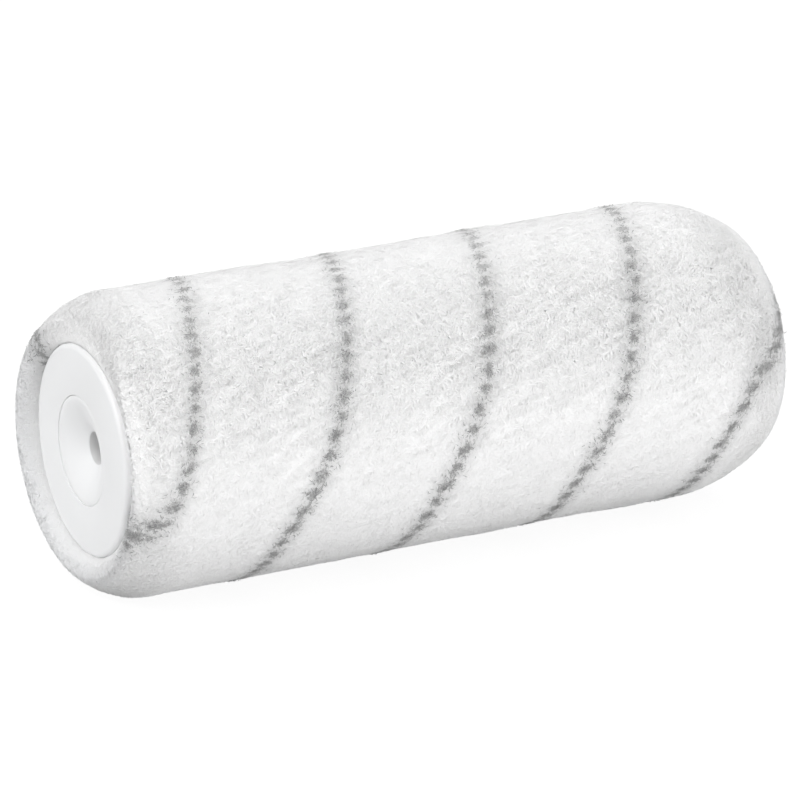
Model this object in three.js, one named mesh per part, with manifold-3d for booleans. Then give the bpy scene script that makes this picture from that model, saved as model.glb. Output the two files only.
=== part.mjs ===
// Paint roller cover, 18 cm wide, for a frame with an 8 mm wire.
// Millimetres, +Z up. The roller's axis is X, and the origin is the middle of the roller.
// The "near" end is at -X and the "far" end at +X.

import * as THREE from "three";
import { mergeVertices } from "three/addons/utils/BufferGeometryUtils.js";
import Module from "manifold-3d";

const wasm = await Module();
wasm.setup();

// ---- Driving dimensions ----

const SIDES = 36; // flats round every turned piece
const GAP = 0.3; // clearance between neighbouring pieces

// Whole roller
const FACE_X = 92; // middle of the roller to the outer face of an end cap
const AXLE_R = 4.2; // bore for an 8 mm wire

// Core tube
const CORE_R = 24;
const CORE_WALL = 1.8;

// End cap
const FLANGE_R = 27.5;
const FLANGE_THICK = 2;
const FLANGE_EDGE = 0.7; // rounding of the flange's outer corner
const SKIRT_WALL = 1.5;
const SKIRT_LENGTH = 13;
const SEAT_WALL = 1.2;
const COLLAR_LENGTH = 15;
const RIB_COUNT = 6;
const RIB_THICK = 1.2;
const RIB_LENGTH = 9;
const RIB_ROOT = 0.5; // how far a rib's edges run into the walls

// Bearing bush, which sits in the end cap and takes the wire
const MOUTH_R = 13.9;
const RIM_WIDTH = 0.6;
const RIM_SUNK = 0.15; // how far the rim lies below the cap's face
const FUNNEL_DEPTH = 4.3;
const FUNNEL_POWER = 1.5; // above 1 the funnel steepens towards the bore
const FUNNEL_STEPS = 6;
const BUSH_WALL = 1.3; // wall behind the funnel
const BACK_CORNER = 0.7; // chamfer where the wall meets the sleeve
const BUSH_R = 6.6; // outside of the bush's sleeve
const BUSH_LENGTH = 18;
const SOCKET_DEPTH = 5; // socket in the bush's inner end for the guide tube

// Guide tube between the two bushes
const GUIDE_R = 5.4;

// Fabric strip, wound round the core in a left-hand helix
const LEAD = 82.5; // axial advance in one turn
const BACKING_THICK = 0.9;
const SEAM_GAP = 0.5; // between one turn of the strip and the next
const SEAM_FRONT_X = 19.2; // where the seam crosses the front (-Y) of the roller

// Pile
const PILE_R = 39.5;
const PILE_END_X = 96.5; // the pile fans out past the cap's face
const CREST_R = 31; // radius of the pile's end crest
const NEAR_ROUND = 16.5; // axial length of the rounding at the near end
const FAR_ROUND = 25; // the same at the far end, which is more tapered
const ROUND_STEPS = 5;

// Marker yarns
const MARKER_WIDTH = 2.6;
const MARKER_DEPTH = 2.2;
const MARKER_SUNK = 0.3; // how far the yarn's ends lie below the pile's surface
const MARKER_A_FRONT_X = -1.8; // where yarn A crosses the front (-Y) of the roller
const MARKER_B_FRONT_X = -42.2; // the same for yarn B
const MARKER_NEAR_X = -79;
const MARKER_FAR_X = 70;

// ---- Worked-out sizes ----

const CORE_X = FACE_X - FLANGE_THICK - GAP; // half the core's length
const CORE_BORE_R = CORE_R - CORE_WALL;
const BACKING_IN_R = CORE_R + GAP;
const BACKING_OUT_R = BACKING_IN_R + BACKING_THICK;
const PILE_IN_R = BACKING_OUT_R + GAP;
const SKIRT_R = CORE_BORE_R - GAP;
const CAP_MOUTH_R = MOUTH_R + GAP;
const COLLAR_IN_R = BUSH_R + GAP;
const COLLAR_OUT_R = COLLAR_IN_R + SEAT_WALL;
const SOCKET_R = GUIDE_R + GAP;

const TURN = 2 * Math.PI;
const STEP = TURN / SIDES;

// ---- Helpers ----

// Turns a mesh geometry into a manifold solid.
function toSolid(geometry) {
  const bare = geometry.clone();
  bare.deleteAttribute("normal");
  bare.deleteAttribute("uv");
  const merged = mergeVertices(bare, 1e-5);
  const vertProperties = new Float32Array(merged.attributes.position.array);
  const triVerts = new Uint32Array(merged.index.array);
  return new wasm.Manifold(new wasm.Mesh({ numProp: 3, vertProperties, triVerts }));
}

// Turns a manifold solid back into a mesh geometry.
function toGeometry(solid) {
  const mesh = solid.getMesh();
  const geometry = new THREE.BufferGeometry();
  geometry.setAttribute("position", new THREE.BufferAttribute(mesh.vertProperties, 3));
  geometry.setIndex(new THREE.BufferAttribute(mesh.triVerts, 1));
  return geometry;
}

// Turns a closed outline of [x, r] points round the roller's axis. The outline may run
// either way round.
function turned(outline) {
  const points = outline.map(([x, r]) => new THREE.Vector2(r, -x));
  if (THREE.ShapeUtils.area(points) < 0) points.reverse();
  points.push(points[0].clone());
  const geometry = new THREE.LatheGeometry(points, SIDES);
  geometry.rotateZ(Math.PI / 2);
  return geometry;
}

// A strip wound round the roller's axis: a long thin box bent along the helix. It crosses
// the front at frontX, reaches halfWidth to each side along X, and runs from turn angle
// start to end, in steps that line up with the flats of the turned pieces.
function wound({ frontX, halfWidth, innerR, outerR, start, end }) {
  const first = Math.round(start / STEP);
  const last = Math.round(end / STEP);
  const steps = last - first;
  const geometry = new THREE.BoxGeometry(2 * halfWidth, outerR - innerR, steps, 1, 1, steps);
  const position = geometry.attributes.position;
  for (let i = 0; i < position.count; i += 1) {
    const angle = (first + position.getZ(i) + steps / 2) * STEP;
    const r = position.getY(i) + (innerR + outerR) / 2;
    const x = position.getX(i) + helixX(frontX, angle);
    position.setXYZ(i, x, r * Math.cos(angle), r * Math.sin(angle));
  }
  return toSolid(geometry);
}

// Where a helix lies along X at a turn angle about +X, counted from +Y. The front is at pi.
function helixX(frontX, angle) {
  return frontX - (LEAD * (angle - Math.PI)) / TURN;
}

// The turn angle at which a helix reaches x.
function helixAngle(frontX, x) {
  return Math.PI + ((frontX - x) * TURN) / LEAD;
}

function named(name, geometry, look) {
  const mesh = new THREE.Mesh(geometry, new THREE.MeshStandardMaterial(look));
  mesh.name = name;
  return mesh;
}

// ---- Materials ----

const WHITE_PLASTIC = { color: 0xeceded, roughness: 0.38, metalness: 0 };
const CORE_PLASTIC = { color: 0xd9dbdc, roughness: 0.5, metalness: 0 };
const GUIDE_PLASTIC = { color: 0xc9cccd, roughness: 0.5, metalness: 0 };
const BACKING_CLOTH = { color: 0xe4e2dc, roughness: 0.95, metalness: 0 };
const PILE_FIBRE = { color: 0xf4f4f2, roughness: 1, metalness: 0 };
const MARKER_FIBRE = { color: 0x9ea1a3, roughness: 1, metalness: 0 };

// ---- Pieces ----

function coreTube() {
  return turned([
    [-CORE_X, CORE_BORE_R],
    [CORE_X, CORE_BORE_R],
    [CORE_X, CORE_R],
    [-CORE_X, CORE_R],
  ]);
}

// The strip's woven backing: one layer round the core, with an open butt seam between turns,
// trimmed square at both ends of the core.
function fabricBacking() {
  const strip = wound({
    frontX: SEAM_FRONT_X - LEAD / 2,
    halfWidth: (LEAD - SEAM_GAP) / 2,
    innerR: BACKING_IN_R,
    outerR: BACKING_OUT_R,
    start: helixAngle(SEAM_FRONT_X - LEAD / 2, CORE_X + LEAD / 2),
    end: helixAngle(SEAM_FRONT_X - LEAD / 2, -CORE_X - LEAD / 2),
  });
  const room = 4 * PILE_R;
  const trim = toSolid(new THREE.BoxGeometry(2 * CORE_X, room, room));
  return toGeometry(strip.intersect(trim));
}

// One end of the pile's outline, as distances from the middle of the roller: round the back
// of the flange, out past its face to the crest, and over the shoulder.
function pileEnd(roundLength) {
  const points = [
    [CORE_X, PILE_IN_R],
    [CORE_X, FLANGE_R + GAP],
    [FACE_X, FLANGE_R + GAP],
    [PILE_END_X - 0.8, CREST_R - 1.8],
  ];
  for (let i = 0; i <= ROUND_STEPS; i += 1) {
    const a = (Math.PI / 2) * (1 - i / ROUND_STEPS);
    const x = PILE_END_X - roundLength * (1 - Math.sin(a));
    const r = CREST_R + (PILE_R - CREST_R) * Math.cos(a);
    points.push([x, r]);
  }
  return points;
}

function pileBody() {
  const far = pileEnd(FAR_ROUND);
  const near = pileEnd(NEAR_ROUND).map(([x, r]) => [-x, r]);
  return toSolid(turned([...far, ...near.reverse()]));
}

// A marker yarn's solid, grown on its sides, bottom and ends by grow, and up to outerR.
function markerStrip(frontX, grow, outerR) {
  const ends = grow > 0 ? STEP : 0;
  return wound({
    frontX,
    halfWidth: MARKER_WIDTH / 2 + grow,
    innerR: PILE_R - MARKER_SUNK - MARKER_DEPTH - grow,
    outerR,
    start: helixAngle(frontX, MARKER_FAR_X) - ends,
    end: helixAngle(frontX, MARKER_NEAR_X) + ends,
  });
}

function pile() {
  const clear = 2 * PILE_R;
  const body = pileBody()
    .subtract(markerStrip(MARKER_A_FRONT_X, GAP, clear))
    .subtract(markerStrip(MARKER_B_FRONT_X, GAP, clear));
  return toGeometry(body);
}

function markerYarn(frontX) {
  return toGeometry(markerStrip(frontX, 0, PILE_R - MARKER_SUNK));
}

// The funnel's surface, from the bore out to the rim, as [depth below the cap's face, r].
// It lies deeper by shift.
function funnel(shift) {
  const points = [];
  const rimR = MOUTH_R - RIM_WIDTH;
  for (let i = 0; i <= FUNNEL_STEPS; i += 1) {
    const t = i / FUNNEL_STEPS;
    const r = AXLE_R + (rimR - AXLE_R) * t;
    const depth = RIM_SUNK + (FUNNEL_DEPTH - RIM_SUNK) * (1 - t) ** FUNNEL_POWER;
    points.push([depth + shift, r]);
  }
  return points;
}

// The bush's outer surface behind its funnel, from the sleeve out to the rim. It is moved
// inwards and outwards by grow, so that the cap's seat follows it with a clear gap.
function bushBack(grow) {
  const slope = funnel(BUSH_WALL).filter((point) => point[1] > BUSH_R + BACK_CORNER);
  const sleeveEnd = [slope[0][0] + BACK_CORNER, BUSH_R];
  const rim = [RIM_SUNK + BUSH_WALL, MOUTH_R];
  const points = [sleeveEnd, ...slope.slice(0, -1), rim];
  return points.map(([depth, r]) => [depth + grow, r + grow]);
}

// Bearing bush for the near end: a shallow funnel on a sleeve, with a socket inside.
function bearingBush() {
  const outline = [
    ...funnel(0),
    [RIM_SUNK, MOUTH_R],
    ...bushBack(0).reverse(),
    [BUSH_LENGTH, BUSH_R],
    [BUSH_LENGTH, SOCKET_R],
    [BUSH_LENGTH - SOCKET_DEPTH, SOCKET_R],
    [BUSH_LENGTH - SOCKET_DEPTH, AXLE_R],
  ];
  return turned(outline.map(([depth, r]) => [depth - FACE_X, r]));
}

// The rounded outer corner of the flange, from the rim round to the face.
function flangeEdge() {
  const points = [];
  const steps = 3;
  for (let i = 0; i <= steps; i += 1) {
    const a = (Math.PI / 2) * (i / steps);
    const depth = FLANGE_EDGE * (1 - Math.sin(a));
    points.push([depth, FLANGE_R - FLANGE_EDGE * (1 - Math.cos(a))]);
  }
  return points;
}

// Stiffening ribs between the collar and the skirt, behind the flange.
function capRibs() {
  const from = COLLAR_OUT_R - RIB_ROOT;
  const to = SKIRT_R - RIB_ROOT;
  const front = FLANGE_THICK - RIB_ROOT;
  let ribs = null;
  for (let i = 0; i < RIB_COUNT; i += 1) {
    const box = new THREE.BoxGeometry(RIB_LENGTH, to - from, RIB_THICK);
    box.translate(front + RIB_LENGTH / 2 - FACE_X, (from + to) / 2, 0);
    box.rotateX((TURN * i) / RIB_COUNT);
    const rib = toSolid(box);
    ribs = ribs ? ribs.add(rib) : rib;
  }
  return ribs.subtract(toSolid(bushSpace()));
}

// The space that the bush takes inside the cap, with its gap.
function bushSpace() {
  const outline = [
    [COLLAR_LENGTH + 1, 0],
    [COLLAR_LENGTH + 1, COLLAR_IN_R],
    ...bushBack(GAP),
    [-1, CAP_MOUTH_R],
    [-1, 0],
  ];
  return turned(outline.map(([depth, r]) => [depth - FACE_X, r]));
}

// End cap for the near end: flange, skirt that presses into the core, and a funnel-shaped
// seat and collar that carry the bush.
function endCap() {
  const outline = [
    ...flangeEdge().reverse(),
    [FLANGE_THICK, FLANGE_R],
    [FLANGE_THICK, SKIRT_R],
    [SKIRT_LENGTH, SKIRT_R],
    [SKIRT_LENGTH, SKIRT_R - SKIRT_WALL],
    [FLANGE_THICK, SKIRT_R - SKIRT_WALL],
    [FLANGE_THICK, CAP_MOUTH_R + SEAT_WALL],
    ...bushBack(GAP + SEAT_WALL).reverse(),
    [COLLAR_LENGTH, COLLAR_OUT_R],
    [COLLAR_LENGTH, COLLAR_IN_R],
    ...bushBack(GAP),
    [0, CAP_MOUTH_R],
  ];
  const shell = toSolid(turned(outline.map(([depth, r]) => [depth - FACE_X, r])));
  return toGeometry(shell.add(capRibs()));
}

function guideTube() {
  const end = FACE_X - BUSH_LENGTH + SOCKET_DEPTH - GAP;
  return turned([
    [-end, AXLE_R],
    [end, AXLE_R],
    [end, GUIDE_R],
    [-end, GUIDE_R],
  ]);
}

// ---- Assembly ----

// The hub stays still on the frame's wire.
function hub() {
  const group = new THREE.Group();
  const near = named("bearing_bush_near", bearingBush(), WHITE_PLASTIC);
  const far = named("bearing_bush_far", bearingBush(), WHITE_PLASTIC);
  far.rotation.z = Math.PI;
  group.add(near, far, named("guide_tube", guideTube(), GUIDE_PLASTIC));
  return group;
}

// The sleeve is everything that turns round the hub.
function sleeve() {
  const group = new THREE.Group();
  const near = named("end_cap_near", endCap(), WHITE_PLASTIC);
  const far = named("end_cap_far", endCap(), WHITE_PLASTIC);
  far.rotation.z = Math.PI;
  group.add(near, far);
  group.add(named("core_tube", coreTube(), CORE_PLASTIC));
  group.add(named("fabric_backing", fabricBacking(), BACKING_CLOTH));
  group.add(named("pile", pile(), PILE_FIBRE));
  group.add(named("marker_yarn_a", markerYarn(MARKER_A_FRONT_X), MARKER_FIBRE));
  group.add(named("marker_yarn_b", markerYarn(MARKER_B_FRONT_X), MARKER_FIBRE));
  return group;
}

const roller = new THREE.Group();
roller.add(hub(), sleeve());

export default roller;
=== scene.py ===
"""Looks for the paint roller cover: plush pile, marker tufts, end caps, studio and camera.

Everything is in metres in the CAD frame: the roller's axis is X, +Z is up, and the near end cap
is at -X.
"""

import math

import bpy
import numpy as np
from mathutils import Matrix, Vector


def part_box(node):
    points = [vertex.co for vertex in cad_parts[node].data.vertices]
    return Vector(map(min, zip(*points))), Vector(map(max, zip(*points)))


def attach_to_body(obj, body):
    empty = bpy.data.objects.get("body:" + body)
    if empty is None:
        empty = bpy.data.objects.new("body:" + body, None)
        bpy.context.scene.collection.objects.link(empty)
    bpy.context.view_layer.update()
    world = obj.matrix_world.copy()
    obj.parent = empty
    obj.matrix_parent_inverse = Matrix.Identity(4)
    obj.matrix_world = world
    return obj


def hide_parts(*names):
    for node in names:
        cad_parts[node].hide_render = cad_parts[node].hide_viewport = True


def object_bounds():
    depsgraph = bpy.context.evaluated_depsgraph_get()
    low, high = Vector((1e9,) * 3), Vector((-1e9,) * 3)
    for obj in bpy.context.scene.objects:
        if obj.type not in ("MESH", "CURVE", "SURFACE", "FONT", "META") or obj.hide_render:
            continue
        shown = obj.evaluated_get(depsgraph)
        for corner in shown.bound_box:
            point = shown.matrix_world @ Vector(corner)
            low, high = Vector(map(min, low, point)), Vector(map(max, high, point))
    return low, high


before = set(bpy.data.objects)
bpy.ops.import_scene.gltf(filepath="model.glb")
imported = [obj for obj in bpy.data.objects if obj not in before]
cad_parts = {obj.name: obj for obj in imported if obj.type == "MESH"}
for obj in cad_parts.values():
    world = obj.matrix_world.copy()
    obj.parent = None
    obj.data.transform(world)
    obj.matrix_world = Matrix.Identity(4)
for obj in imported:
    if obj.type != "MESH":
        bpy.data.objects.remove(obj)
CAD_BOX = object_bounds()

MM = 0.001
TURN = 2 * math.pi
SLEEVE = "sleeve"
HUB = "hub"

# ---- Sizes read from the frame ----

FACE_X = -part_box("end_cap_near")[0].x
FLANGE_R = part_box("end_cap_near")[1].z
MOUTH_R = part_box("bearing_bush_near")[1].z
GUIDE_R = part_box("guide_tube")[1].z
CORE_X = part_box("core_tube")[1].x
CORE_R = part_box("core_tube")[1].z
BACKING_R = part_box("fabric_backing")[1].z
PILE_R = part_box("pile")[1].z
PILE_END_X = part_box("pile")[1].x

# ---- Sizes of the moulded parts, as the CAD has them but for the ones that say otherwise ----

AXLE_R = 4.2 * MM
GAP = 0.3 * MM
FLANGE_THICK = 2 * MM
FLANGE_EDGE = 1.6 * MM  # the rounding of the rim, softer than the CAD's 0.7 mm, as in the photo
RIM_GAP = 0.1 * MM  # the parting line round the bush, finer than GAP, which the CAD has there
CORE_WALL = 1.8 * MM
SKIRT_WALL = 1.5 * MM
SKIRT_LENGTH = 13 * MM
SEAT_WALL = 1.2 * MM
COLLAR_LENGTH = 15 * MM
RIB_COUNT = 6
RIB_THICK = 1.2 * MM
RIB_LENGTH = 9 * MM
RIB_FRONT = 5.5 * MM  # the ribs start this deep, clear of the bush; the CAD's are cut round it
RIB_BITE = 0.5 * MM  # how far the ribs run into the walls that they join
RIM_WIDTH = 0.6 * MM
RIM_SUNK = 0.15 * MM
FUNNEL_DEPTH = 4.3 * MM
FUNNEL_POWER = 1.5
BUSH_WALL = 1.3 * MM
BACK_CORNER = 0.7 * MM
BUSH_R = 6.6 * MM
BUSH_LENGTH = 18 * MM
SOCKET_DEPTH = 5 * MM
BUSH_SOFT = 0.12 * MM  # the bush's rim is rounded by this, which the CAD leaves sharp
CAP_SOFT = 0.2 * MM  # the same for the cap's other corners
MOULD_SIDES = 144

# ---- The wound strip ----

LEAD = 82.5 * MM
MARKER_FRONT_X = {"a": -1.8 * MM, "b": -42.2 * MM}
MARKER_GREY = 0.24
DOT_STEP = 4.9 * MM
DOT_SPREAD = 1.1 * MM
HALO_SPREAD = 2.3 * MM
HALO_SHARE = 0.28
HALO_DENSITY = 0.35
TUFT_PLACES = 900000  # places tried for each yarn, of which at most TUFT_FIBRES are used
TUFT_FIBRES = 9000
TUFT_LENGTHS = (1.0, 2.4)  # mm
TUFT_WIDTHS = (0.09, 0.2)  # mm
TUFT_LIFTS = (0.1, 0.5)  # radians
TUFT_SCATTER = 0.2
WANDER_START = 0.6 * MM
WANDER = ((-3.3 * MM, 118, 28), (-1.2 * MM, -25, 25))  # depth, then centre and width in degrees
FAINTER = (-0.52, -10, 40)  # the same, for how boldly the yarns show
DRIFT_FRONT = (1.0, 80, 60)  # the same, for the drifts at the ends
END_DRIFTS = (  # how far a yarn drifts, then where along the roller and over what width
    (2.8 * MM, -83 * MM, 7 * MM),
    (-3.0 * MM, -94 * MM, 4 * MM),
    (8.0 * MM, 95 * MM, 10 * MM),
)
MASK_DOT = (0.3 * MM, 2.6 * MM)  # from where to where a dot's grey fades out
MASK_LINE = (0.0, 7.0 * MM)
MASK_LINE_SHARE = 0.32
MASK_STRAY_ALONG = 3.2 * MM  # how far noise moves the dots along the roller
MASK_STRAY_ABOUT = 3.6 * MM  # and how far round it
MASK_RAGGED = 3.0 * MM

# ---- The pile ----

SKIN_DEPTH = 0.55 * MM  # the matted skin lies this far below the fibre tips
AROUND = 360
ALONG = 190
NEAR_STEPS = 28
FAR_STEPS = 34
ROUND_POWER = 1.33
LIP_CLEARANCE = 0.03 * MM

# The near end in mm: the value at the front, what is added at the back, what the tuck adds.
CREST_OVER = (1.0, 3.3, -5.6)  # how far the crest stands past the cap's face
CREST_R = (34.0, -3.0, 1.2)
SHOULDER = (12.5, -3.0)  # where the rounded shoulder starts, back from the cap's face
LIP_DEPTH = (1.75, -1.75)  # where the pile meets the flange's rim, back from its face

# The far end
FAR_CREST_R = 28.6 * MM
FAR_CREST_BACK = 0.5 * MM
FAR_SHOULDER = 20 * MM

# The skin's roughness: the height in mm, then the size it changes over.
SWAY = (1.0, 6 * MM)
LUMPS = (0.3, 14 * MM)
TANGLE = (0.6, 2.8 * MM)
FINE_TANGLE = (0.3, 1.4 * MM)
TANGLE_FLAT = 0.25  # the share of the tangle where the pile lies flat
TANGLE_FLUFFED = 1.5  # what is added to that share where it is fluffed up

FIBRES_PER_PIECE = 31000
FIBRE_LENGTHS = (1.0, 2.4)  # mm
FIBRE_WIDTHS = (0.10, 0.22)  # mm
FIBRE_LIFTS = (0.05, 0.6)  # radians
FIBRE_SUNK = 0.06 * MM
SCATTER_FLAT = 0.08
SCATTER_FLUFFED = 0.38
SCATTER_SHOULDER = 0.10
SCATTER_FACE = 0.12
DOT_CLEARANCE = 1.0 * MM  # white fibres are thinned out this near to a dot's centre
DOT_KEPT = 0.6  # the share of them that stays there
# Painted shade: the pile's end faces are darkened and cooled by this, standing in for the shade
# between the fibre ends.
END_SHADE_TINT = (0.975, 0.98, 0.99)
# Less of that painted end shade at the top of the end face, where the light from above falls.
END_SHADE_EASED_TOP = (-0.85, 0, 50)  # less of that tint here, as in FAINTER
FIBRE_PIECES = 16
FIBRE_FLATNESS = 0.4
FIBRE_ROUNDNESS = 0.5
FLATTEST_AT = math.radians(75)  # where the pile fans out least past the near flange
TUCKED_AT = (5, 35)  # where it falls back from the near flange: centre and width in degrees
FLUFFED_AT = math.radians(48)  # the pile is fluffed up along here and opposite
COMB_TWIST = 8.0  # radians per metre
COMB_SHORTENING = 0.35

# ---- Plastics: their greys and roughnesses ----

WHITE_PLASTIC = (0.87, 0.36)
# Painted shade: the guide tube is greyer than the white plastics, standing in for the shade deep
# in the axle hole where it is seen.
GUIDE_SHADED_PLASTIC = (0.55, 0.5)
CORE_PLASTIC = (0.62, 0.5)
# Painted shade: the grey laid on the axle hole's wall, standing in for the shade inside the hole.
BORE_SHADE_GREY = 0.68

# ---- Surroundings, floor, lights and camera ----

WORLD_LOW = 0.50
WORLD_HIGH = 0.54
FLOOR_HALF = 3.0
FLOOR_DROP = 0.3 * MM
FLOOR_GLOW = 1.07
FLOOR_GLOW_SHARE = 0.86
FLOOR_PAPER = 0.93
FLOOR_BOUNCE = 0.55  # how pale the floor is to the roller, and how pale off its near end
FLOOR_BOUNCE_NEAR = 0.45
FLOOR_BOUNCE_X = (-0.3, -0.05)  # from where to where it changes
LIGHTS = (  # name, place, size and power
    ("front", (0.3, -1.5, 0.35), 0.7, 14.3),
    ("above", (-0.5, -0.1, 1.35), 0.9, 3.0),
    ("left", (-1.3, -0.1, 0.8), 0.8, 10.3),
    ("behind", (0.7, 0.6, 0.95), 0.8, 6.5),
)
CAMERA_AZIMUTH = math.radians(-26.94)
CAMERA_ELEVATION = math.radians(20.55)
CAMERA_DISTANCE = 1.5685
CAMERA_AIM = (-0.5 * MM, 0, 0)
CAMERA_OFFSET = (-1.35 * MM, -1.73 * MM)
CAMERA_LENS = 273.8
CAMERA_SENSOR = 36

# Every random draw comes from here, in the same order each run.
rng = np.random.default_rng(7)


# ---- Noise ----

NOISE_CELLS = 64
noise_table = rng.random((NOISE_CELLS, NOISE_CELLS, NOISE_CELLS))


def smooth_noise(points, size, shift=0.0):
    """Values from -1 to 1 that change smoothly over about size metres. A different shift
    gives different values."""
    p = points / size + shift
    cell = np.floor(p).astype(int)
    f = p - cell
    f = f * f * (3 - 2 * f)
    total = np.zeros(len(p))
    for corner in range(8):
        bits = np.array([corner & 1, corner >> 1 & 1, corner >> 2 & 1])
        at = (cell + bits) % NOISE_CELLS
        weight = np.prod(np.where(bits, f, 1 - f), axis=1)
        total += weight * noise_table[at[:, 0], at[:, 1], at[:, 2]]
    return 2 * total - 1


# ---- Meshes ----


def mesh_object(name, vertices, polygons, smooth=True):
    """An object from a list of points and a list of polygons."""
    mesh = bpy.data.meshes.new(name)
    mesh.from_pydata([tuple(v) for v in vertices], [], [tuple(p) for p in polygons])
    mesh.validate()
    if smooth:
        mesh.shade_smooth()
    made = bpy.data.objects.new(name, mesh)
    bpy.context.scene.collection.objects.link(made)
    return made


def grid_faces(rows, columns):
    """Quads of a grid that closes on itself both ways, as indices into rows * columns points."""
    i, j = np.meshgrid(np.arange(rows), np.arange(columns), indexing="ij")
    k, m = (i + 1) % rows, (j + 1) % columns
    quads = np.stack([i * columns + j, k * columns + j, k * columns + m, i * columns + m], -1)
    return quads.reshape(-1, 4)


def around(points_x, points_r, angle):
    """Points at x, radius and the angle down the front from the top."""
    return np.stack(
        [points_x, -points_r * np.sin(angle), points_r * np.cos(angle)], axis=-1
    )


def outward(vertices, faces):
    """The faces turned so that the closed mesh's volume is positive."""
    a, b, c = (vertices[faces[:, k]] for k in (0, 1, 2))
    d = vertices[faces[:, 3]]
    volume = np.einsum("ij,ij->i", a, np.cross(b, c)).sum()
    volume += np.einsum("ij,ij->i", a, np.cross(c, d)).sum()
    return faces if volume > 0 else faces[:, ::-1]


def turned(name, outline, sides):
    """A closed outline of (x, r) points turned round the roller's axis."""
    x, r = np.array(outline).T
    angle = np.arange(sides) * TURN / sides
    vertices = around(
        np.repeat(x[:, None], sides, 1), np.repeat(r[:, None], sides, 1), angle[None, :]
    ).reshape(-1, 3)
    return mesh_object(name, vertices, outward(vertices, grid_faces(len(x), sides)))


# ---- The pile's surface ----


def hump(angle, depth, centre, width):
    """A smooth hump of the given depth about an angle. centre and width are in degrees."""
    gap = (angle - math.radians(centre) + TURN / 2) % TURN - TURN / 2
    return depth * np.exp(-((gap / math.radians(width)) ** 2))


def back_weight(angle):
    """0 on the front, where the pile fans out least past the near flange, and 1 opposite."""
    return ((1 - np.cos(angle - FLATTEST_AT)) / 2) ** 0.7


def end_curve(crest_x, crest_r, start_x, lip_x, bulge, steps):
    """One end of the pile's surface, from behind the flange, over the crest and the shoulder,
    as an array of x and one of r with a column for each angle. Each argument but steps is an
    array with a value for each angle, or a number. bulge is 0 for a straight slope from the
    flange to the crest and 1 for one that swells past it."""
    t = np.linspace(0, 1, steps)[:, None]
    lip_r = FLANGE_R - LIP_CLEARANCE
    behind_x = CORE_X + 0 * t[:2] + 0 * crest_x
    behind_r = np.array([[BACKING_R + GAP], [lip_r]]) + 0 * crest_r
    u = t[: steps // 3] / t[steps // 3]
    corner_x = crest_x + 0.5 * (1 - bulge) * (lip_x - crest_x)
    corner_r = lip_r + (0.5 - 0.25 * bulge) * (crest_r - lip_r)
    lip_curve_x = (1 - u) ** 2 * lip_x + 2 * u * (1 - u) * corner_x + u**2 * crest_x
    lip_curve_r = (1 - u) ** 2 * lip_r + 2 * u * (1 - u) * corner_r + u**2 * crest_r
    a = (1 - np.linspace(0, 1, steps)[:, None]) * TURN / 4
    round_x = crest_x - (crest_x - start_x) * (1 - np.sin(a) ** ROUND_POWER)
    round_r = crest_r + (PILE_R - SKIN_DEPTH - crest_r) * np.cos(a) ** ROUND_POWER
    x = np.concatenate([behind_x, lip_curve_x, round_x])
    r = np.concatenate([behind_r, lip_curve_r, round_r])
    return x, r


def pile_grid():
    """The smooth skin of the pile as arrays of x and r, with rows along it and columns round
    it, and the angle of each column."""
    angle = np.arange(AROUND) * TURN / AROUND
    back = back_weight(angle)
    tuck = hump(angle, 1.0, *TUCKED_AT)
    near_x, near_r = end_curve(
        crest_x=FACE_X + (CREST_OVER[0] + CREST_OVER[1] * back + CREST_OVER[2] * tuck) * MM,
        crest_r=(CREST_R[0] + CREST_R[1] * back + CREST_R[2] * tuck) * MM,
        start_x=FACE_X - (SHOULDER[0] + SHOULDER[1] * back) * MM,
        lip_x=FACE_X - (LIP_DEPTH[0] + LIP_DEPTH[1] * back) * MM,
        bulge=back * (1 - tuck),
        steps=NEAR_STEPS,
    )
    flat = np.ones(AROUND)
    far_x, far_r = end_curve(
        crest_x=(PILE_END_X - FAR_CREST_BACK) * flat,
        crest_r=FAR_CREST_R * flat,
        start_x=(FACE_X - FAR_SHOULDER) * flat,
        lip_x=FACE_X * flat,
        bulge=flat,
        steps=FAR_STEPS,
    )
    t = np.linspace(0, 1, ALONG)[1:-1, None]
    middle_x = -near_x[-1] * (1 - t) + far_x[-1] * t
    middle_r = (PILE_R - SKIN_DEPTH) * np.ones_like(middle_x)
    x = np.concatenate([-near_x, middle_x, far_x[::-1]])
    r = np.concatenate([near_r, middle_r, far_r[::-1]])
    return x, r, angle


def fluff(angle):
    """How fluffed up the pile is at each angle, from 0 to 1, in two bands along the roller."""
    return (0.5 + 0.5 * np.cos(2 * (angle - FLUFFED_AT))) ** 3


def end_weight(x, length=5 * MM):
    """1 on the pile's end faces, falling to 0 over the given length of the shoulders."""
    return np.clip((np.abs(x) - FACE_X + length) / length, 0, 1)


def combed(points):
    """The points in a frame twisted about the roller and shortened along it, so that noise
    read there runs in slanting streaks."""
    turn = COMB_TWIST * points[:, 0]
    y = points[:, 1] * np.cos(turn) - points[:, 2] * np.sin(turn)
    z = points[:, 1] * np.sin(turn) + points[:, 2] * np.cos(turn)
    return np.stack([points[:, 0] * COMB_SHORTENING, y, z], axis=-1)


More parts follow.
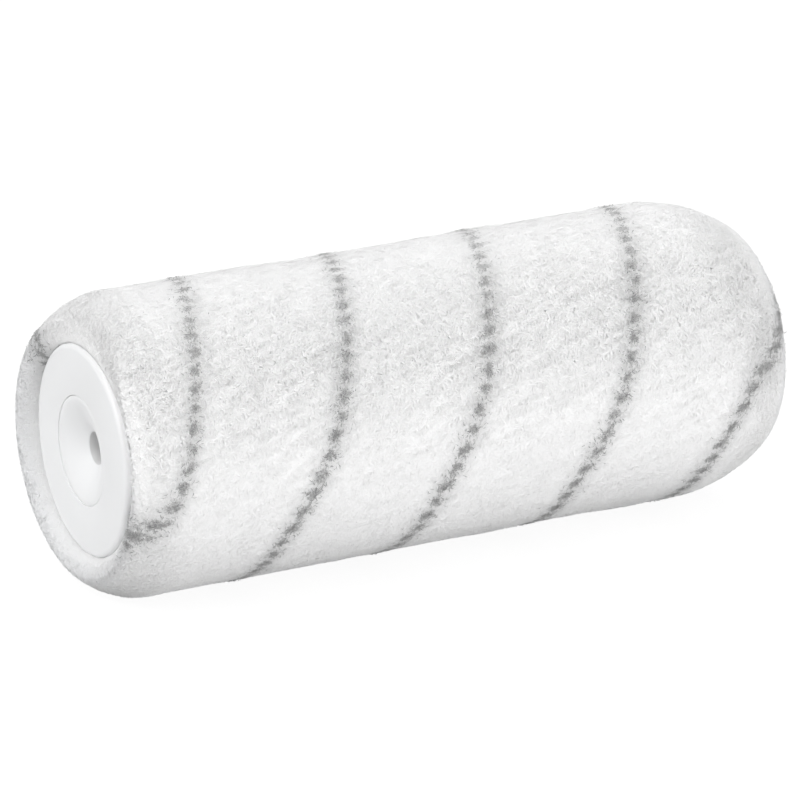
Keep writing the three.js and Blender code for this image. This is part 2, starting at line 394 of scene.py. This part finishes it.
def roughened(x, r, angle):
    """The skin with its lumps and dents, which fade out where the flange holds it."""
    points = around(x, r, angle[None, :])
    flat = points.reshape(-1, 3)
    warp = np.stack([smooth_noise(flat, SWAY[1], k) for k in (3.0, 13.0, 23.0)], axis=-1)
    bent = combed(flat) + SWAY[0] * MM * warp
    lumps = LUMPS[0] * smooth_noise(flat, LUMPS[1])
    tangle = TANGLE[0] * (0.5 - np.abs(smooth_noise(bent, TANGLE[1], 9.0)))
    tangle = tangle + FINE_TANGLE[0] * smooth_noise(bent, FINE_TANGLE[1], 21.0)
    raised = TANGLE_FLAT + TANGLE_FLUFFED * fluff(angle)[None, :]
    height = lumps.reshape(r.shape) + tangle.reshape(r.shape) * raised
    free = np.clip((r - FLANGE_R - 0.5 * MM) / (6 * MM), 0, 1) * (1 - 0.7 * end_weight(x))
    return around(x, r + height * MM * free, angle[None, :])


def grid_normals(points):
    """Outward normals of the grid's points."""
    along = np.gradient(points, axis=0)
    about = np.roll(points, -1, axis=1) - np.roll(points, 1, axis=1)
    n = np.cross(about, along)
    n /= np.linalg.norm(n, axis=-1, keepdims=True) + 1e-12
    return n if (n[len(n) // 2] * points[len(n) // 2])[:, 1:].sum() > 0 else -n


def make_skin(points):
    """The matted skin of the pile as a closed mesh."""
    rows, columns = points.shape[:2]
    vertices = points.reshape(-1, 3)
    return mesh_object("pile_skin", vertices, outward(vertices, grid_faces(rows, columns)))


# ---- Fibres ----

FIBRE_TRIANGLES = ((0, 1, 2), (0, 2, 3), (0, 3, 1), (2, 1, 4), (3, 2, 4), (1, 3, 4))


def fibre_object(name, root, first, second, normal, length, width, scatter):
    """Many bent fibres in one mesh, each pointed at both ends and flattened against the pile.
    first and second are the directions of each fibre's two halves. scatter is how far each
    fibre's shading turns away from the pile's own."""
    count = len(root)
    side = np.cross(first + second, normal)
    side /= np.linalg.norm(side, axis=1, keepdims=True) + 1e-12
    middle = root + first * length[:, None] * 0.5
    half = width[:, None] / 2
    vertices = np.zeros((count, 5, 3), np.float32)
    vertices[:, 0] = root
    vertices[:, 1] = middle - side * half
    vertices[:, 2] = middle + side * half
    vertices[:, 3] = middle + normal * half * FIBRE_FLATNESS
    vertices[:, 4] = middle + second * length[:, None] * 0.5
    triangles = np.array(FIBRE_TRIANGLES, np.int32).ravel()
    loops = (triangles[None, :] + 5 * np.arange(count, dtype=np.int32)[:, None]).ravel()
    mesh = bpy.data.meshes.new(name)
    mesh.vertices.add(5 * count)
    mesh.vertices.foreach_set("co", vertices.ravel())
    mesh.loops.add(len(loops))
    mesh.loops.foreach_set("vertex_index", loops)
    mesh.polygons.add(len(loops) // 3)
    mesh.polygons.foreach_set("loop_start", np.arange(0, len(loops), 3, dtype=np.int32))
    mesh.update(calc_edges=True)
    mesh.shade_smooth()
    soft = normal + rng.normal(0, 1, (count, 3)) * scatter[:, None]
    soft = np.repeat(soft[:, None], 5, 1)
    soft[:, 1] -= FIBRE_ROUNDNESS * side
    soft[:, 2] += FIBRE_ROUNDNESS * side
    soft /= np.linalg.norm(soft, axis=2, keepdims=True)
    mesh.normals_split_custom_set_from_vertices(soft.reshape(-1, 3))
    made = bpy.data.objects.new(name, mesh)
    bpy.context.scene.collection.objects.link(made)
    return made


def sample_surface(points, normals, count, low=-1.0, high=1.0):
    """Random places on the grid, spread evenly by area, with their normals and the direction
    along the roller, between two places along X."""
    a = points[:-1]
    along = points[1:] - a
    about = np.roll(a, -1, axis=1) - a
    area = np.linalg.norm(np.cross(along, about), axis=-1)
    centre = a[..., 0] + along[..., 0] / 2
    area = np.where((centre >= low) & (centre < high), area, 0)
    chance = np.cumsum(area.ravel())
    pick = np.searchsorted(chance, rng.random(count) * chance[-1])
    i, j = np.unravel_index(pick, area.shape)
    u, v = rng.random((2, count, 1))
    place = a[i, j] + along[i, j] * u + about[i, j] * v
    direction = along[i, j] / (np.linalg.norm(along[i, j], axis=1, keepdims=True) + 1e-12)
    return place, normals[i, j], direction


def wander(x, angle):
    """How far a marker yarn strays along the roller from its true helix."""
    drift = sum(depth * np.exp(-(((x - at) / width) ** 2)) for depth, at, width in END_DRIFTS)
    return WANDER_START + sum(hump(angle, *w) for w in WANDER) + drift * hump(angle, *DRIFT_FRONT)


def to_marker(place, front):
    """How far each place is from the nearest dot centre of one marker yarn, and from the
    yarn's line."""
    angle = np.arctan2(-place[:, 1], place[:, 2])
    top_x = front + LEAD / 4 + wander(place[:, 0], angle)
    turns = np.round((top_x - place[:, 0]) / LEAD - angle / TURN)
    total = angle + TURN * turns
    across = place[:, 0] - (top_x - LEAD * total / TURN)
    step = DOT_STEP / PILE_R
    about = (total - np.round(total / step) * step) * PILE_R
    return np.hypot(across, about), np.abs(across)


def headings(normal, along, heading):
    """Directions in the surface, heading radians from along the roller."""
    about = np.cross(normal, along)
    return along * np.cos(heading)[:, None] + about * np.sin(heading)[:, None]


def laid_fibres(name, place, normal, along, length, width, lift, scatter):
    """Fibres that arch over the skin from each place. lift is the angle at which they rise."""
    count = len(place)
    heading = rng.uniform(0, TURN, count)
    drop = lift * rng.uniform(0.3, 1.2, count)
    first = headings(normal, along, heading)
    second = headings(normal, along, heading + rng.normal(0, 0.5, count))
    first = first * np.cos(lift)[:, None] + normal * np.sin(lift)[:, None]
    second = second * np.cos(drop)[:, None] - normal * np.sin(drop)[:, None]
    root = place - normal * FIBRE_SUNK
    return fibre_object(name, root, first, second, normal, length, width, scatter)


def make_white_fibres(points, normals):
    """White fibres over the whole pile, in several pieces along the roller. edge is 0 where
    the pile meets the flange, where fibres are short and lie flat."""
    edges = np.linspace(-PILE_END_X - 5 * MM, PILE_END_X + 5 * MM, FIBRE_PIECES + 1)
    made = []
    for k in range(FIBRE_PIECES):
        place, normal, along = sample_surface(
            points, normals, FIBRES_PER_PIECE, edges[k], edges[k + 1]
        )
        radius = np.hypot(place[:, 1], place[:, 2])
        edge = np.clip((radius - FLANGE_R) / (2.4 * MM), 0, 1)
        edge *= 1 - 0.35 * end_weight(place[:, 0])
        near_dot = np.minimum(*(to_marker(place, f)[0] for f in MARKER_FRONT_X.values()))
        keep = (near_dot > DOT_CLEARANCE) | (rng.random(len(place)) < DOT_KEPT)
        keep &= edge > 0.03
        place, normal, along, edge = place[keep], normal[keep], along[keep], edge[keep]
        count = len(place)
        face = end_weight(place[:, 0])
        raised = fluff(np.arctan2(-place[:, 1], place[:, 2])) * (1 - 0.7 * face)
        length = rng.uniform(*FIBRE_LENGTHS, count) * (0.3 + 0.7 * edge) * MM
        width = rng.uniform(*FIBRE_WIDTHS, count) * MM
        shoulder = end_weight(place[:, 0], 15 * MM)
        lift = rng.uniform(*FIBRE_LIFTS, count) * (0.25 + 0.75 * raised + 0.4 * shoulder) * edge
        scatter = SCATTER_FLAT + SCATTER_FLUFFED * raised + SCATTER_SHOULDER * shoulder
        scatter += SCATTER_FACE * face
        name = f"pile_fibres_{k + 1}"
        made.append(laid_fibres(name, place, normal, along, length, width, lift, scatter))
    return made


def make_marker_tufts(name, front, points, normals):
    """Grey tufts at every dot of one marker yarn, with stray fibres along its line."""
    place, normal, along = sample_surface(points, normals, TUFT_PLACES)
    from_dot, from_line = to_marker(place, front)
    chance = (1 - HALO_SHARE) * np.exp(-((from_dot / DOT_SPREAD) ** 2))
    chance += HALO_SHARE * np.exp(-((from_line / HALO_SPREAD) ** 2)) * HALO_DENSITY
    chance *= 1 + hump(np.arctan2(-place[:, 1], place[:, 2]), *FAINTER)
    keep = rng.random(len(place)) < chance
    keep &= np.hypot(place[:, 1], place[:, 2]) > FLANGE_R + 0.6 * MM
    kept = np.flatnonzero(keep)[:TUFT_FIBRES]
    place, normal, along = place[kept], normal[kept], along[kept]
    count = len(place)
    length = rng.uniform(*TUFT_LENGTHS, count) * MM
    width = rng.uniform(*TUFT_WIDTHS, count) * MM
    lift = rng.uniform(*TUFT_LIFTS, count)
    scatter = np.full(count, TUFT_SCATTER)
    return laid_fibres(name, place, normal, along, length, width, lift, scatter)


# ---- Moulded parts ----

RIB_FACES = (
    (0, 1, 3, 2),
    (4, 6, 7, 5),
    (0, 4, 5, 1),
    (2, 3, 7, 6),
    (0, 2, 6, 4),
    (1, 5, 7, 3),
)


def arc(centre_x, centre_r, radius, start, end, steps):
    """Points on an arc in the (x, r) plane, with angles in quarter turns."""
    a = np.linspace(start, end, steps + 1) * TURN / 4
    return [(centre_x + radius * math.cos(q), centre_r + radius * math.sin(q)) for q in a]


def funnel(shift, steps=28):
    """The funnel's surface from the bore to the rim, as (depth, r)."""
    rim_r = MOUTH_R - RIM_WIDTH
    points = []
    for k in range(steps + 1):
        t = k / steps
        depth = RIM_SUNK + (FUNNEL_DEPTH - RIM_SUNK) * (1 - t) ** FUNNEL_POWER
        points.append((depth + shift, AXLE_R + (rim_r - AXLE_R) * t))
    return points


def bush_back(grow):
    """The bush's surface behind its funnel, from the sleeve to the rim, moved by grow."""
    slope = [p for p in funnel(BUSH_WALL) if p[1] > BUSH_R + BACK_CORNER]
    points = [(slope[0][0] + BACK_CORNER, BUSH_R), *slope[:-1]]
    points.append((RIM_SUNK + BUSH_WALL, MOUTH_R))
    return [(depth + grow, r + grow) for depth, r in points]


def placed(outline, side):
    """An outline of (depth, r) set at the near end (side -1) or the far end (side 1)."""
    return [(side * (FACE_X - depth), r) for depth, r in outline]


def make_bush(name, side):
    """A bearing bush: its funnel, its rim, its sleeve and the socket for the guide tube."""
    soft = BUSH_SOFT
    rim_r = MOUTH_R + GAP - RIM_GAP
    outline = [
        *funnel(0),
        (RIM_SUNK, rim_r - soft),
        (RIM_SUNK + 0.3 * soft, rim_r - 0.3 * soft),
        (RIM_SUNK + soft, rim_r),
        (RIM_SUNK + 0.6 * BUSH_WALL, rim_r),
        *reversed(bush_back(0)),
        (BUSH_LENGTH, BUSH_R),
        (BUSH_LENGTH, GUIDE_R + GAP),
        (BUSH_LENGTH - SOCKET_DEPTH, GUIDE_R + GAP),
        (BUSH_LENGTH - SOCKET_DEPTH, AXLE_R),
    ]
    return turned(name, placed(outline, side), MOULD_SIDES)


def make_ribs(name, side):
    """Stiffening ribs inside the cap, between the collar and the skirt."""
    low_r = BUSH_R + GAP + SEAT_WALL - RIB_BITE
    high_r = CORE_R - CORE_WALL - GAP - RIB_BITE
    vertices, polygons = [], []
    for k in range(RIB_COUNT):
        turn = Matrix.Rotation(TURN * k / RIB_COUNT, 4, "X")
        base = len(vertices)
        for depth in (RIB_FRONT, FLANGE_THICK - RIB_BITE + RIB_LENGTH):
            for r in (low_r, high_r):
                for z in (-RIB_THICK / 2, RIB_THICK / 2):
                    vertices.append(turn @ Vector((side * (FACE_X - depth), r, z)))
        for quad in RIB_FACES:
            polygons.append([base + q for q in (quad if side < 0 else quad[::-1])])
    return mesh_object(name, vertices, polygons, smooth=False)


def make_cap(name, side):
    """The end cap's flange, skirt, seat and collar."""
    soft = CAP_SOFT
    skirt_r = CORE_R - CORE_WALL - GAP
    mouth = MOUTH_R + GAP
    edge = arc(FLANGE_EDGE, FLANGE_R - FLANGE_EDGE, FLANGE_EDGE, 2, 1, 10)
    lip = arc(soft, mouth + soft, soft, 3, 2, 4)
    outline = [
        *lip,
        *edge,
        *arc(FLANGE_THICK - soft, FLANGE_R - soft, soft, 1, 0, 4),
        (FLANGE_THICK, skirt_r),
        (SKIRT_LENGTH, skirt_r),
        (SKIRT_LENGTH, skirt_r - SKIRT_WALL),
        (FLANGE_THICK, skirt_r - SKIRT_WALL),
        (FLANGE_THICK, mouth + SEAT_WALL),
        *reversed(bush_back(GAP + SEAT_WALL)),
        (COLLAR_LENGTH, BUSH_R + GAP + SEAT_WALL),
        (COLLAR_LENGTH, BUSH_R + GAP),
        *bush_back(GAP),
    ]
    return turned(name, placed(outline, side), MOULD_SIDES)


def sharpen(obj, degrees=35):
    """Keeps a turned part's crisp corners crisp while the rest is shaded smooth."""
    bpy.context.view_layer.objects.active = obj
    obj.select_set(True)
    bpy.ops.object.shade_auto_smooth(angle=math.radians(degrees))
    obj.select_set(False)
    return obj


# ---- Materials ----


class Nodes:
    """A material's node tree, with short calls to add and link nodes."""

    def __init__(self, name):
        self.material = bpy.data.materials.new(name)
        self.material.use_nodes = True
        self.tree = self.material.node_tree
        self.tree.nodes.clear()
        self.output = self.add("ShaderNodeOutputMaterial")

    def add(self, kind, inputs=None, **settings):
        node = self.tree.nodes.new(kind)
        for key, value in settings.items():
            setattr(node, key, value)
        for key, value in (inputs or {}).items():
            if isinstance(value, bpy.types.NodeSocket):
                self.tree.links.new(value, node.inputs[key])
            else:
                node.inputs[key].default_value = value
        return node

    def math(self, operation, a, b=None):
        values = {0: a} if b is None else {0: a, 1: b}
        return self.add("ShaderNodeMath", values, operation=operation).outputs[0]

    def noise(self, scale, detail=2.0, roughness=0.5, shift=0.0):
        """A noise texture in the piece's own coordinates, scale in cells per metre."""
        place = self.add("ShaderNodeTexCoord").outputs["Object"]
        if shift:
            moved = self.add("ShaderNodeVectorMath", {0: place, 1: (shift, shift, shift)})
            place = moved.outputs[0]
        inputs = {"Vector": place, "Scale": scale, "Detail": detail, "Roughness": roughness}
        return self.add("ShaderNodeTexNoise", inputs).outputs["Fac"]

    def spread(self, scale, width, shift=0.0):
        """Noise centred on 0 that spreads over about width."""
        fac = self.noise(scale, 2.0, 0.5, shift)
        return self.math("MULTIPLY", self.math("SUBTRACT", fac, 0.5), width)

    def ramp(self, value, stops):
        node = self.add("ShaderNodeValToRGB", {"Fac": value})
        elements = node.color_ramp.elements
        for k, (at, colour) in enumerate(stops):
            element = elements[k] if k < 2 else elements.new(at)
            element.position = at
            element.color = (*colour, 1)
        return node.outputs["Color"]

    def bump(self, height, distance, strength=1.0):
        inputs = {"Height": height, "Distance": distance, "Strength": strength}
        return self.add("ShaderNodeBump", inputs).outputs["Normal"]

    def finish(self, shader):
        self.tree.links.new(shader.outputs[0], self.output.inputs["Surface"])
        return self.material


def grey(value, warm=0.0):
    return (value + warm, value, value - warm)


def fibre_shader(n, colour, normal=None, sheen=0.3):
    """A soft matt fibre with a little sheen, which brightens it at a glancing angle."""
    inputs = {"Base Color": colour, "Roughness": 0.8, "Specular IOR Level": 0.15}
    inputs["Sheen Weight"] = sheen
    inputs["Sheen Roughness"] = 0.5
    if normal is not None:
        inputs["Normal"] = normal
    return n.add("ShaderNodeBsdfPrincipled", inputs)


def bell_nodes(n, gap, depth, width):
    """depth where gap is 0, falling away smoothly over width."""
    square = n.math("POWER", n.math("DIVIDE", gap, width), 2.0)
    return n.math("MULTIPLY", n.math("POWER", math.e, n.math("MULTIPLY", square, -1.0)), depth)


def hump_nodes(n, angle, depth, centre, width):
    """hump(), as nodes."""
    gap = n.math("SUBTRACT", angle, math.radians(centre - 180))
    gap = n.math("SUBTRACT", n.math("FLOORED_MODULO", gap, TURN), TURN / 2)
    return bell_nodes(n, gap, depth, math.radians(width))


def wander_nodes(n, x, angle):
    """wander(), as nodes."""
    drift = 0.0
    for depth, at, width in END_DRIFTS:
        drift = n.math("ADD", bell_nodes(n, n.math("SUBTRACT", x, at), depth, width), drift)
    stray = n.math("MULTIPLY", drift, hump_nodes(n, angle, *DRIFT_FRONT))
    for w in WANDER:
        stray = n.math("ADD", stray, hump_nodes(n, angle, *w))
    return n.math("ADD", stray, WANDER_START)


def fade(n, value, low, high, start):
    """start where value is under low, falling smoothly to 0 at high."""
    inputs = {"Value": value, "From Min": low, "From Max": high, "To Min": start, "To Max": 0.0}
    return n.add("ShaderNodeMapRange", inputs, interpolation_type="SMOOTHSTEP").outputs[0]


def marker_mask(n, strength):
    """How grey the pile is, up to strength: most at each dot of the marker yarns, a little
    along their lines. It reads the piece's own coordinates."""
    place = n.add("ShaderNodeTexCoord").outputs["Object"]
    x, y, z = n.add("ShaderNodeSeparateXYZ", {0: place}).outputs[:3]
    angle = n.math("ARCTAN2", n.math("MULTIPLY", y, -1.0), z)
    stray = n.math("ADD", wander_nodes(n, x, angle), n.spread(260.0, MASK_STRAY_ALONG))
    late = n.spread(260.0, MASK_STRAY_ABOUT, 5.0)
    step = DOT_STEP / PILE_R
    dots, lines = [], []
    for front in MARKER_FRONT_X.values():
        top_x = n.math("ADD", stray, front + LEAD / 4)
        offset = n.math("DIVIDE", n.math("SUBTRACT", top_x, x), LEAD)
        turns = n.math("ROUND", n.math("SUBTRACT", offset, n.math("DIVIDE", angle, TURN)))
        total = n.math("ADD", angle, n.math("MULTIPLY", turns, TURN))
        line = n.math("SUBTRACT", top_x, n.math("MULTIPLY", total, LEAD / TURN))
        across = n.math("SUBTRACT", x, line)
        nearest = n.math("MULTIPLY", n.math("ROUND", n.math("DIVIDE", total, step)), step)
        about = n.math("MULTIPLY", n.math("SUBTRACT", total, nearest), PILE_R)
        about = n.math("ADD", about, late)
        square = n.math("ADD", n.math("POWER", across, 2.0), n.math("POWER", about, 2.0))
        dots.append(n.math("SQRT", square))
        lines.append(n.math("ABSOLUTE", across))
    ragged = n.math("ADD", n.spread(700.0, MASK_RAGGED), n.spread(2200.0, MASK_RAGGED))
    dot = n.math("ADD", n.math("MINIMUM", *dots), ragged)
    line = n.math("ADD", n.math("MINIMUM", *lines), ragged)
    core = fade(n, dot, *MASK_DOT, strength)
    halo = fade(n, line, *MASK_LINE, MASK_LINE_SHARE * strength)
    mask = n.math("MAXIMUM", core, halo)
    return n.math("MULTIPLY", mask, n.math("ADD", hump_nodes(n, angle, *FAINTER), 1.0))


def with_markers(n, white, strength):
    """white, turned grey where the marker yarns are."""
    node = n.add("ShaderNodeMix", {"Factor": marker_mask(n, strength)}, data_type="RGBA")
    n.tree.links.new(white, node.inputs["A"])
    node.inputs["B"].default_value = (*grey(MARKER_GREY), 1)
    return node.outputs["Result"]


def with_end_shade(n, colour):
    """colour with painted shade: a little darker and cooler on the end faces, where fibre ends
    point outwards and shade one another, and less so at the top, where the light falls.
    """
    place = n.add("ShaderNodeTexCoord").outputs["Object"]
    x, y, z = n.add("ShaderNodeSeparateXYZ", {0: place}).outputs[:3]
    angle = n.math("ARCTAN2", n.math("MULTIPLY", y, -1.0), z)
    inputs = {"Value": n.math("ABSOLUTE", x), "From Min": FACE_X - 0.5 * MM}
    inputs["From Max"] = FACE_X + 3.0 * MM
    end = n.add("ShaderNodeMapRange", inputs).outputs[0]
    end = n.math("MULTIPLY", end, n.math("ADD", hump_nodes(n, angle, *END_SHADE_EASED_TOP), 1.0))
    node = n.add("ShaderNodeMix", {"Factor": end}, data_type="RGBA", blend_type="MULTIPLY")
    n.tree.links.new(colour, node.inputs["A"])
    node.inputs["B"].default_value = (*END_SHADE_TINT, 1)
    return node.outputs["Result"]


def white_fibre_material():
    n = Nodes("white_fibre")
    island = n.add("ShaderNodeNewGeometry").outputs["Random Per Island"]
    tint = n.ramp(island, [(0.0, grey(0.94)), (1.0, grey(0.995))])
    return n.finish(fibre_shader(n, with_end_shade(n, with_markers(n, tint, 0.7))))


def grey_fibre_material():
    n = Nodes("grey_fibre")
    island = n.add("ShaderNodeNewGeometry").outputs["Random Per Island"]
    tint = n.ramp(island, [(0.0, grey(0.22)), (0.6, grey(0.40)), (1.0, grey(0.62))])
    return n.finish(fibre_shader(n, tint))


def skin_material():
    n = Nodes("pile_skin")
    cloud = n.noise(260.0, 4.0, 0.6)
    white = n.ramp(cloud, [(0.3, grey(0.93)), (0.7, grey(0.975))])
    nap = n.math("ADD", n.noise(1500.0, 4.0, 0.7), n.math("MULTIPLY", n.noise(4200.0, 2.0), 0.5))
    colour = with_end_shade(n, with_markers(n, white, 0.95))
    return n.finish(fibre_shader(n, colour, n.bump(nap, 0.5 * MM)))


def in_bore(n):
    """1 on the wall of the axle hole, where painted shade is laid, and 0 elsewhere."""
    place = n.add("ShaderNodeTexCoord").outputs["Object"]
    y, z = n.add("ShaderNodeSeparateXYZ", {0: place}).outputs[1:3]
    radius = n.math("SQRT", n.math("ADD", n.math("POWER", y, 2.0), n.math("POWER", z, 2.0)))
    return n.math("LESS_THAN", radius, AXLE_R + 0.05 * MM)


def plastic_material(name, value, roughness, cool=0.006):
    """Moulded plastic: faint clouding and dimples, uneven gloss, and painted shade that darkens
    the axle hole.
    """
    n = Nodes(name)
    cloud = n.noise(45.0, 3.0)
    tint = n.ramp(cloud, [(0.3, grey(value - 0.012, -cool)), (0.7, grey(value + 0.012, -cool))])
    # Painted shade: the wall of the axle hole is greyed, standing in for the shade inside it.
    bore_shade = n.add("ShaderNodeMix", {"Factor": in_bore(n)}, data_type="RGBA")
    n.tree.links.new(tint, bore_shade.inputs["A"])
    bore_shade.inputs["B"].default_value = (*grey(BORE_SHADE_GREY), 1)
    tint = bore_shade.outputs["Result"]
    fine = n.math("MULTIPLY", n.noise(2600.0, 3.0, 0.6), 0.12)
    sheen = n.math("ADD", fine, roughness - 0.06)
    dimple = n.math("ADD", n.noise(1200.0, 2.0), n.math("MULTIPLY", n.noise(130.0, 2.0), 1.5))
    inputs = {
        "Base Color": tint,
        "Roughness": sheen,
        "Normal": n.bump(dimple, 0.02 * MM, 0.6),
        "Subsurface Weight": 0.1,
        "Subsurface Radius": (1.0, 1.0, 1.0),
        "Subsurface Scale": 1.2 * MM,
        "IOR": 1.49,
    }
    return n.finish(n.add("ShaderNodeBsdfPrincipled", inputs))


def cloth_material():
    n = Nodes("backing_cloth")
    place = n.add("ShaderNodeTexCoord").outputs["Object"]
    inputs = {"Vector": place, "Scale": 420.0, "Distortion": 2.0}
    weave = n.add("ShaderNodeTexWave", inputs, bands_direction="X").outputs["Fac"]
    tint = n.ramp(weave, [(0.2, (0.60, 0.59, 0.55)), (0.8, (0.80, 0.79, 0.75))])
    normal = n.bump(weave, 0.15 * MM)
    return n.finish(fibre_shader(n, tint, normal))


def floor_material():
    """A floor that the camera sees as white with the faintest shadow, and that lights the
    roller from below like grey paper, a little darker off its near end."""
    n = Nodes("studio_floor")
    seen = n.add("ShaderNodeEmission", {"Color": (1, 1, 1, 1), "Strength": FLOOR_GLOW})
    paper = n.add("ShaderNodeBsdfDiffuse", {"Color": (*grey(FLOOR_PAPER), 1)})
    mix = {"Fac": FLOOR_GLOW_SHARE, 1: paper.outputs[0], 2: seen.outputs[0]}
    white = n.add("ShaderNodeMixShader", mix)
    place = n.add("ShaderNodeTexCoord").outputs["Object"]
    x = n.add("ShaderNodeSeparateXYZ", {0: place}).outputs["X"]
    inputs = {"Value": x, "From Min": FLOOR_BOUNCE_X[0], "From Max": FLOOR_BOUNCE_X[1]}
    inputs["To Min"] = FLOOR_BOUNCE_NEAR
    inputs["To Max"] = FLOOR_BOUNCE
    bounce = n.add("ShaderNodeMapRange", inputs).outputs[0]
    dim = n.add("ShaderNodeBsdfDiffuse", {"Color": bounce})
    direct = n.add("ShaderNodeLightPath").outputs["Is Camera Ray"]
    mix = {"Fac": direct, 1: dim.outputs[0], 2: white.outputs[0]}
    return n.finish(n.add("ShaderNodeMixShader", mix))


def give(obj, material):
    obj.data.materials.clear()
    obj.data.materials.append(material)
    return obj


# ---- Studio ----


def make_camera():
    az, el = CAMERA_AZIMUTH, CAMERA_ELEVATION
    forward = Vector((-math.sin(az) * math.cos(el), math.cos(az) * math.cos(el), -math.sin(el)))
    right = Vector((math.cos(az), math.sin(az), 0))
    up = right.cross(forward)
    place = Vector(CAMERA_AIM) - forward * CAMERA_DISTANCE
    place += right * CAMERA_OFFSET[0] + up * CAMERA_OFFSET[1]
    data = bpy.data.cameras.new("camera")
    data.lens = CAMERA_LENS
    data.sensor_width = CAMERA_SENSOR
    data.clip_end = 50
    camera = bpy.data.objects.new("camera", data)
    camera.matrix_world = Matrix.Translation(place) @ Matrix(
        (right, up, -forward)
    ).transposed().to_4x4()
    bpy.context.scene.collection.objects.link(camera)
    bpy.context.scene.camera = camera


def make_light(name, place, size, power):
    """A soft round light that faces the roller."""
    data = bpy.data.lights.new(name, "AREA")
    data.shape = "DISK"
    data.size = size
    data.energy = power
    light = bpy.data.objects.new(name, data)
    light.location = place
    light.rotation_mode = "QUATERNION"
    light.rotation_quaternion = (-Vector(place)).to_track_quat("-Z", "Y")
    bpy.context.scene.collection.objects.link(light)


def make_world():
    """White surroundings to the camera. What lights the roller is brightest overhead."""
    world = bpy.data.worlds.new("studio")
    bpy.context.scene.world = world
    world.use_nodes = True
    tree = world.node_tree
    tree.nodes.clear()

    def add(kind):
        return tree.nodes.new("ShaderNode" + kind)

    place, split, ramp = add("TexCoord"), add("SeparateXYZ"), add("MapRange")
    seen, lit, path = add("Background"), add("Background"), add("LightPath")
    mix, output = add("MixShader"), add("OutputWorld")
    tree.links.new(place.outputs["Generated"], split.inputs[0])
    tree.links.new(split.outputs["Z"], ramp.inputs["Value"])
    ramp.inputs["From Min"].default_value = 0.0
    ramp.inputs["To Min"].default_value = WORLD_LOW
    ramp.inputs["To Max"].default_value = WORLD_HIGH
    tree.links.new(ramp.outputs[0], lit.inputs["Strength"])
    for node in (seen, lit):
        node.inputs["Color"].default_value = (1, 1, 1, 1)
    tree.links.new(path.outputs["Is Camera Ray"], mix.inputs[0])
    tree.links.new(lit.outputs[0], mix.inputs[1])
    tree.links.new(seen.outputs[0], mix.inputs[2])
    tree.links.new(mix.outputs[0], output.inputs["Surface"])


def make_floor():
    half = FLOOR_HALF
    z = CAD_BOX[0].z - FLOOR_DROP
    corners = [(-half, -half, z), (half, -half, z), (half, half, z), (-half, half, z)]
    floor = mesh_object("floor", corners, [(0, 1, 2, 3)], smooth=False)
    give(floor, floor_material())


def make_studio():
    make_camera()
    make_world()
    make_floor()
    for light in LIGHTS:
        make_light(*light)
    bpy.context.scene.view_settings.view_transform = "Standard"


# ---- Assembly ----


def attach(obj, body, slot, *nodes):
    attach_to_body(obj, body)
    if nodes:
        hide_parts(*nodes)


def dress_pile():
    x, r, angle = pile_grid()
    points = roughened(x, r, angle)
    normals = grid_normals(points)
    skin = give(make_skin(points), skin_material())
    attach(skin, SLEEVE, "pile_fibre", "pile")
    white = white_fibre_material()
    for piece in make_white_fibres(points, normals):
        attach(give(piece, white), SLEEVE, "pile_fibre")
    dark = grey_fibre_material()
    for key, front in MARKER_FRONT_X.items():
        tufts = make_marker_tufts(f"marker_tufts_{key}", front, points, normals)
        attach(give(tufts, dark), SLEEVE, "marker_fibre", f"marker_yarn_{key}")


def dress_mouldings():
    white = plastic_material("white_plastic", *WHITE_PLASTIC)
    for side, end in ((-1, "near"), (1, "far")):
        cap = sharpen(give(make_cap(f"cap_{end}", side), white))
        attach(cap, SLEEVE, "white_plastic", f"end_cap_{end}")
        ribs = give(make_ribs(f"cap_ribs_{end}", side), white)
        attach(ribs, SLEEVE, "white_plastic")
        bush = sharpen(give(make_bush(f"bush_{end}", side), white))
        attach(bush, HUB, "white_plastic", f"bearing_bush_{end}")
    # The guide tube's grey is painted shade for the inside of the axle hole.
    give(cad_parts["guide_tube"], plastic_material("guide_plastic", *GUIDE_SHADED_PLASTIC))
    give(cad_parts["core_tube"], plastic_material("core_plastic", *CORE_PLASTIC))
    give(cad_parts["fabric_backing"], cloth_material())


make_studio()
dress_mouldings()
dress_pile()
